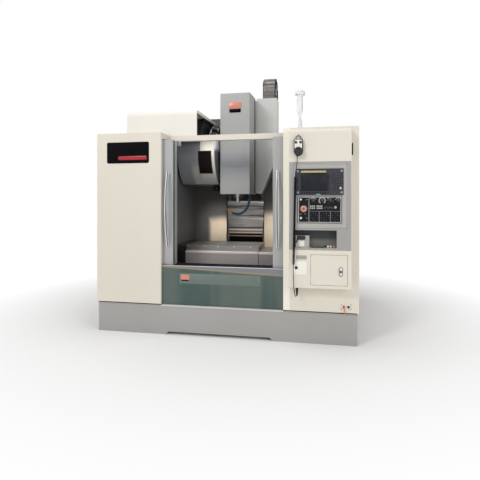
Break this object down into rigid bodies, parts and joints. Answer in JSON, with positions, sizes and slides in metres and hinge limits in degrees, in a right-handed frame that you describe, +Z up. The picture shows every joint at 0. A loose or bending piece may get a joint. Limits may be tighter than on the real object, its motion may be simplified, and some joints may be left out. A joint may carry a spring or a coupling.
{
  "type": "vertical machining center",
  "caption": "Vertical machining center with a cream sheet enclosure, sliding front doors, a disc tool magazine, a spindle head over a slotted table and a control console.",
  "frame": {"origin": "middle of the footprint on the floor", "axes": "X to the right seen from the front, Y from the front to the back, Z up"},
  "size_m": [2.64, 2.5, 2.9174],
  "materials": {
    "cream_enamel": "satin enamel on sheet steel",
    "tray_grey": "satin grey enamel on sheet steel",
    "cover_grey": "satin grey enamel on sheet steel",
    "casting_paint": "painted casting",
    "dark_sheet": "dark grey enamel on sheet steel",
    "stainless_sheet": "brushed stainless sheet",
    "ground_steel": "ground steel",
    "chrome_plate": "chrome plated",
    "panel_grey": "fine textured grey",
    "black_plastic": "fine grain",
    "unit_plastic": "fine grain dark grey",
    "white_plastic": "smooth",
    "lamp_white": "milky translucent",
    "red_plastic": "smooth red",
    "blue_hose": "jointed plastic segments",
    "cord_rubber": "matt",
    "window_glass": "clear safety glass",
    "dark_acrylic": "dark glossy acrylic",
    "apron_grey": "grey enamel on sheet steel"
  },
  "bodies": {
    "machine": {"chip_tray": "tray_grey", "bed": "casting_paint", "levelling_feet": "ground_steel", "column": "casting_paint", "guide_rails": "ground_steel", "left_enclosure": "cream_enamel", "right_enclosure": "cream_enamel", "inner_walls": "dark_sheet", "rear_wall": "cream_enamel", "door_lintel": "cream_enamel", "front_apron": "stainless_sheet", "magazine_hood": "cream_enamel", "magazine_housing": "dark_sheet", "magazine_cover": "cream_enamel", "magazine_window": "dark_acrylic", "changing_pot": "black_plastic", "console_housing": "cream_enamel", "operator_panel": "panel_grey", "display_unit": "unit_plastic", "machine_keypad": "black_plastic", "tower_lamp": "lamp_white", "mpg_pendant": "white_plastic", "pendant_cord": "cord_rubber", "pendant_cord_coil": "cord_rubber", "chain_channel": "cover_grey", "electrical_cabinet": "cream_enamel", "lubrication_unit": "white_plastic", "drive_motors": "black_plastic", "z_cover_base": "ground_steel"},
    "left_leaf": {"left_door": "tray_grey", "left_door_glass": "window_glass", "left_door_handle": "chrome_plate"},
    "right_leaf": {"right_door": "tray_grey", "right_door_glass": "window_glass", "right_door_handle": "chrome_plate"},
    "cross_saddle": {"saddle": "casting_paint"},
    "work_table": {"table": "ground_steel", "table_apron": "apron_grey", "table_wings": "apron_grey"},
    "head": {"spindle_head": "casting_paint", "head_cover": "cover_grey", "chain_guard": "cover_grey", "coolant_hose": "blue_hose", "z_cover_top": "ground_steel"},
    "tool_spindle": {"spindle": "ground_steel"},
    "tool_disc": {"magazine_disc": "black_plastic"},
    "chain": {"energy_chain": "black_plastic"},
    "way_plate_upper": {"z_cover_upper": "ground_steel"},
    "way_plate_lower": {"z_cover_lower": "ground_steel"},
    "crank_wheel": {"handwheel": "black_plastic"},
    "axis_selector": {"axis_knob": "black_plastic"},
    "step_selector": {"step_knob": "black_plastic"},
    "stop_button": {"emergency_stop": "red_plastic"},
    "mode_selector": {"mode_knob": "black_plastic"},
    "rapid_selector": {"rapid_knob": "black_plastic"},
    "feed_selector": {"feed_knob": "black_plastic"},
    "speed_selector": {"spindle_knob": "black_plastic"},
    "locker_leaf": {"console_door": "cream_enamel"},
    "locker_latch": {"console_latch": "chrome_plate"},
    "cabinet_leaf": {"cabinet_door": "cream_enamel"}
  },
  "joints": [
    {"name": "left_door_slide", "type": "slide", "parent": "machine", "child": "left_leaf", "axis": [1, 0, 0], "range_m": [0, 0.511]},
    {"name": "right_door_slide", "type": "slide", "parent": "machine", "child": "right_leaf", "axis": [-1, 0, 0], "range_m": [0, 0.511]},
    {"name": "saddle_feed", "type": "slide", "parent": "machine", "child": "cross_saddle", "axis": [0, 1, 0], "range_m": [-0.21, 0.28]},
    {"name": "table_feed", "type": "slide", "parent": "cross_saddle", "child": "work_table", "axis": [1, 0, 0], "range_m": [-0.173, 0.427]},
    {"name": "head_feed", "type": "slide", "parent": "machine", "child": "head", "axis": [0, 0, 1], "range_m": [-0.33, 0.17]},
    {"name": "spindle_turn", "type": "hinge", "parent": "head", "child": "tool_spindle", "pos_m": [0, -0.1657, 1.5], "axis": [0, 0, 1], "continuous": true},
    {"name": "disc_turn", "type": "hinge", "parent": "machine", "child": "tool_disc", "pos_m": [-0.32, 0.0143, 1.935], "axis": [1, 0, 0], "continuous": true},
    {"name": "chain_follow", "type": "slide", "parent": "machine", "child": "chain", "axis": [0, 0, 1], "range_m": [-0.165, 0.085]},
    {"name": "way_upper_follow", "type": "slide", "parent": "machine", "child": "way_plate_upper", "axis": [0, 0, 1], "range_m": [-0.2201, 0.1134]},
    {"name": "way_lower_follow", "type": "slide", "parent": "machine", "child": "way_plate_lower", "axis": [0, 0, 1], "range_m": [-0.1101, 0.0567]},
    {"name": "crank_turn", "type": "hinge", "parent": "machine", "child": "crank_wheel", "pos_m": [0.769, -1.2117, 1.804], "axis": [0, 1, 0], "continuous": true},
    {"name": "axis_select", "type": "hinge", "parent": "machine", "child": "axis_selector", "pos_m": [0.747, -1.2117, 1.886], "axis": [0, 1, 0], "range_deg": [-60, 60]},
    {"name": "step_select", "type": "hinge", "parent": "machine", "child": "step_selector", "pos_m": [0.791, -1.2117, 1.886], "axis": [0, 1, 0], "range_deg": [-30, 30]},
    {"name": "stop_press", "type": "slide", "parent": "machine", "child": "stop_button", "axis": [0, 1, 0], "range_m": [0, 0.007], "stiffness_N_per_m": 900, "springref_m": -0.001},
    {"name": "mode_select", "type": "hinge", "parent": "machine", "child": "mode_selector", "pos_m": [0.903, -1.1717, 1.353], "axis": [0, 1, 0], "range_deg": [-120, 120]},
    {"name": "rapid_select", "type": "hinge", "parent": "machine", "child": "rapid_selector", "pos_m": [0.983, -1.1717, 1.353], "axis": [0, 1, 0], "range_deg": [-60, 60]},
    {"name": "feed_select", "type": "hinge", "parent": "machine", "child": "feed_selector", "pos_m": [1.055, -1.1717, 1.353], "axis": [0, 1, 0], "range_deg": [-135, 135]},
    {"name": "speed_select", "type": "hinge", "parent": "machine", "child": "speed_selector", "pos_m": [1.127, -1.1717, 1.353], "axis": [0, 1, 0], "range_deg": [-90, 90]},
    {"name": "locker_hinge", "type": "hinge", "parent": "machine", "child": "locker_leaf", "pos_m": [0.8829, -1.1617, 0.7165], "axis": [0, 0, -1], "range_deg": [0, 100]},
    {"name": "latch_turn", "type": "hinge", "parent": "locker_leaf", "child": "locker_latch", "pos_m": [1.149, -1.1697, 0.733], "axis": [0, 1, 0], "range_deg": [0, 90]},
    {"name": "cabinet_hinge", "type": "hinge", "parent": "machine", "child": "cabinet_leaf", "pos_m": [0.4265, 1.23, 1.26], "axis": [0, 0, -1], "range_deg": [0, 110]}
  ],
  "couplings": [
    {"joint": "chain_follow", "follows": "head_feed", "ratio": 0.5},
    {"joint": "way_upper_follow", "follows": "head_feed", "ratio": 0.6667},
    {"joint": "way_lower_follow", "follows": "head_feed", "ratio": 0.3333}
  ]
}
